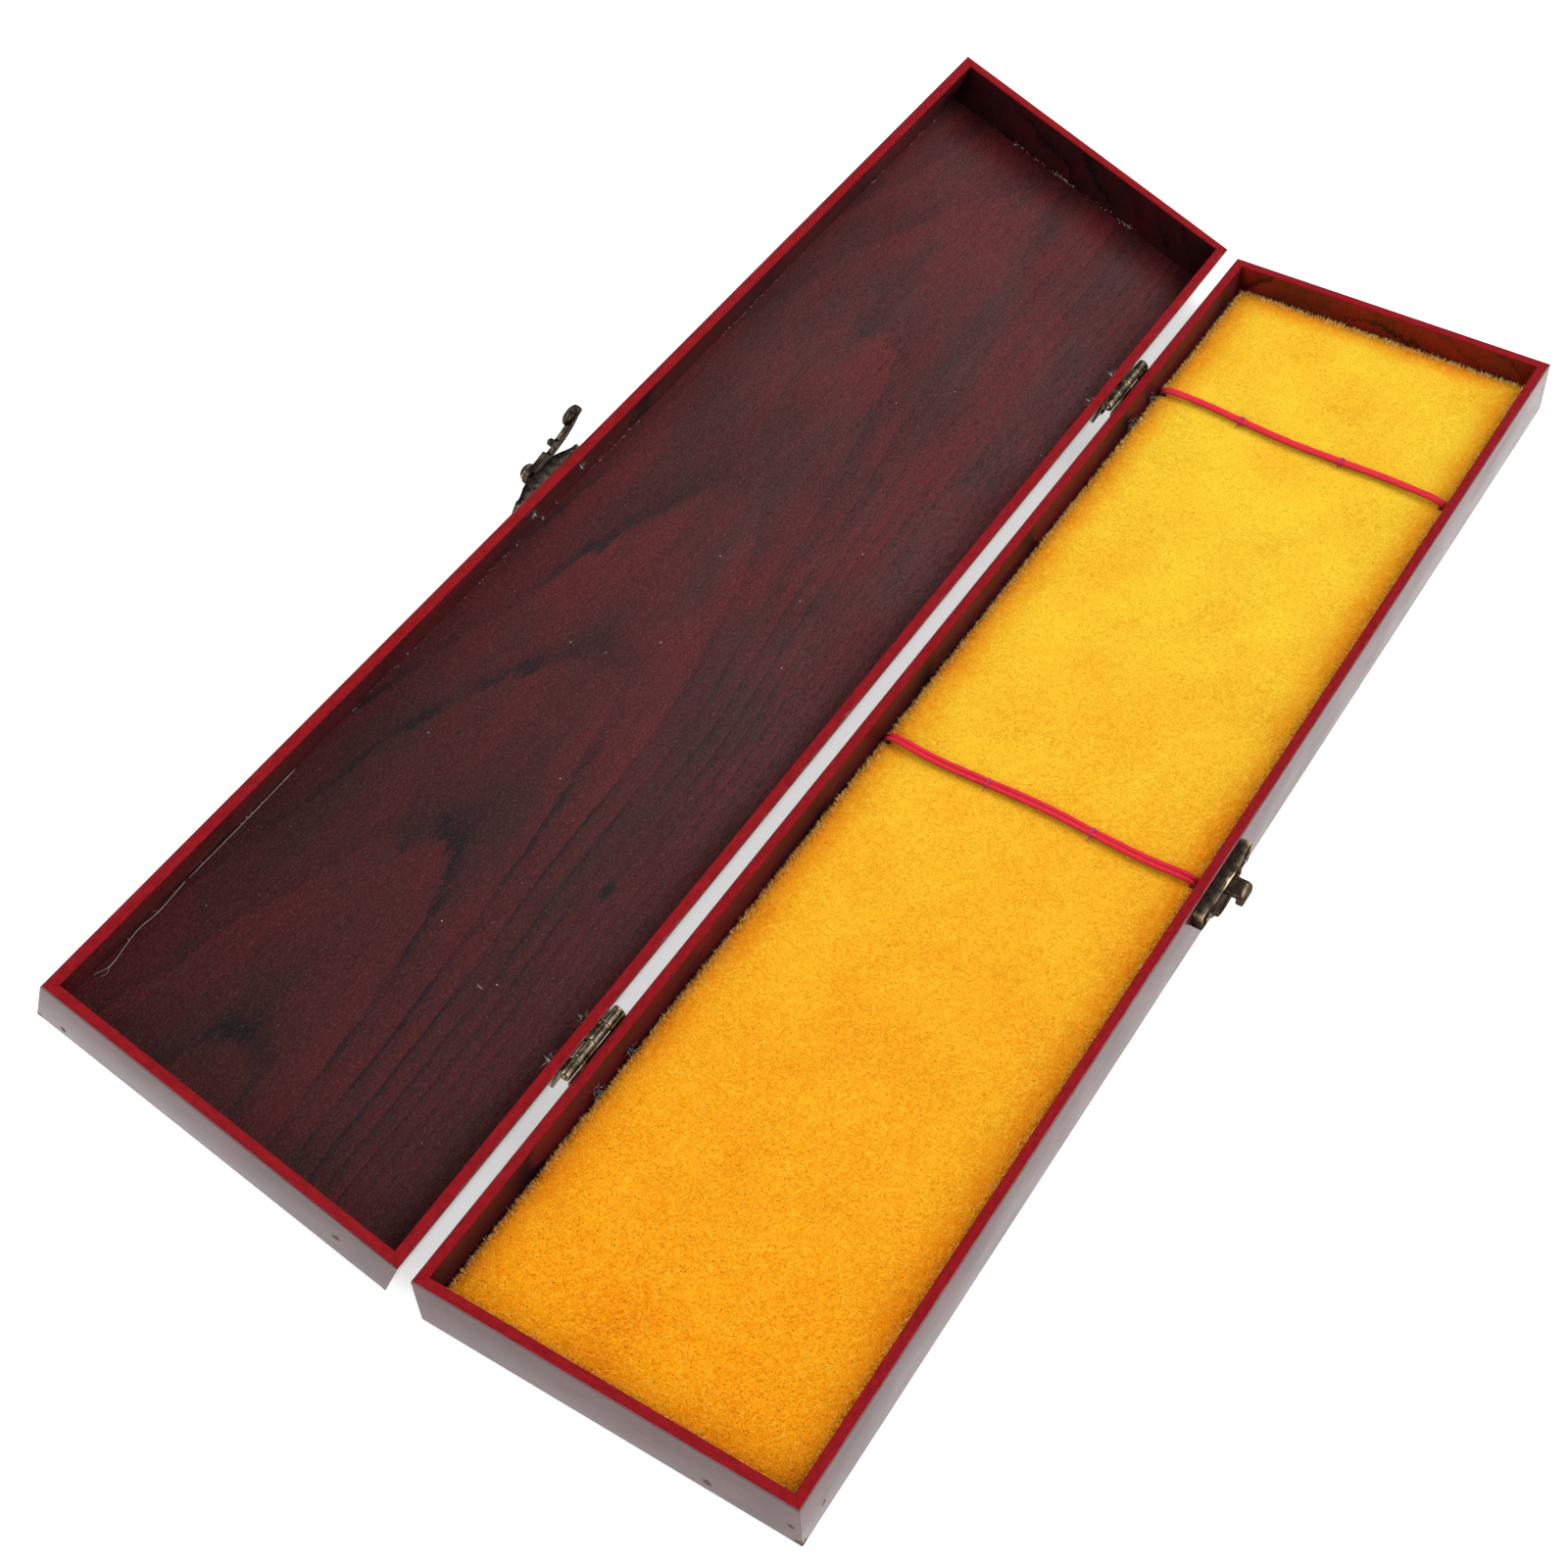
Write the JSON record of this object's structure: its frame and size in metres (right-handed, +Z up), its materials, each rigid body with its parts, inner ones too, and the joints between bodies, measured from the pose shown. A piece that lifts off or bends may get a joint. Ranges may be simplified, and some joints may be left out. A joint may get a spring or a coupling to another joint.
{
  "type": "calligraphy brush box",
  "caption": "Shallow hinged brush box: plush-lined base with elastic cords, film-covered lid, butt hinges and a swing-hook latch that closes on a keeper.",
  "frame": {"origin": "centre of the base tray's flat underside", "axes": "+X from the hinges towards the catch, +Y along the box towards the far end, +Z up"},
  "size_m": [0.1726, 0.33, 0.0559],
  "materials": {
    "wall_film": "glossy dark rosewood film outside, red painted rim",
    "panel_film": "satin dark rosewood film",
    "grey_board": "raw grey board",
    "yellow_plush": "short golden yellow pile",
    "red_elastic": "covered elastic cord",
    "stitch_thread": "sewing thread",
    "hinge_metal": "antique bronze plating, bright along the rolled knuckles",
    "aged_bronze": "antique bronze plating, dark in the hollows",
    "nail_steel": "bright nail"
  },
  "bodies": {
    "base": {"base_near_end_wall": "wall_film", "base_catch_wall": "wall_film", "base_far_end_wall": "wall_film", "base_hinge_wall": "wall_film", "base_bottom_panel": "panel_film", "lining_board": "grey_board", "plush_lining": "yellow_plush", "elastic_cord_near": "red_elastic", "cord_stitch_near_1": "stitch_thread", "cord_stitch_near_2": "stitch_thread", "elastic_cord_far": "red_elastic", "cord_stitch_far_1": "stitch_thread", "cord_stitch_far_2": "stitch_thread", "hinge_near_base_leaf": "hinge_metal", "hinge_near_base_nail_1": "nail_steel", "hinge_near_base_nail_2": "nail_steel", "hinge_far_base_leaf": "hinge_metal", "hinge_far_base_nail_1": "nail_steel", "hinge_far_base_nail_2": "nail_steel", "hinge_near_pin": "hinge_metal", "hinge_far_pin": "hinge_metal", "catch_plate": "aged_bronze", "catch_nail_near": "nail_steel", "catch_nail_far": "nail_steel"},
    "lid": {"lid_near_end_wall": "wall_film", "lid_latch_wall": "wall_film", "lid_far_end_wall": "wall_film", "lid_hinge_wall": "wall_film", "lid_top_panel": "panel_film", "hinge_near_lid_leaf": "hinge_metal", "hinge_near_lid_nail_1": "nail_steel", "hinge_near_lid_nail_2": "nail_steel", "hinge_far_lid_leaf": "hinge_metal", "hinge_far_lid_nail_1": "nail_steel", "hinge_far_lid_nail_2": "nail_steel", "latch_plate": "aged_bronze", "latch_nail_near": "nail_steel", "latch_nail_far": "nail_steel", "latch_rivet": "aged_bronze"},
    "latch_hook": {"latch_hook": "aged_bronze"}
  },
  "joints": [
    {"name": "lid_hinge", "type": "hinge", "parent": "base", "child": "lid", "pos_m": [-0.04195, 0, 0.0147], "axis": [0, 1, 0], "range_deg": [0, 157]},
    {"name": "latch_swing", "type": "hinge", "parent": "lid", "child": "latch_hook", "pos_m": [-0.11945, -0.0116, 0.04314], "axis": [0.9205, 0, -0.3907], "range_deg": [-128.6, 51.4]}
  ]
}
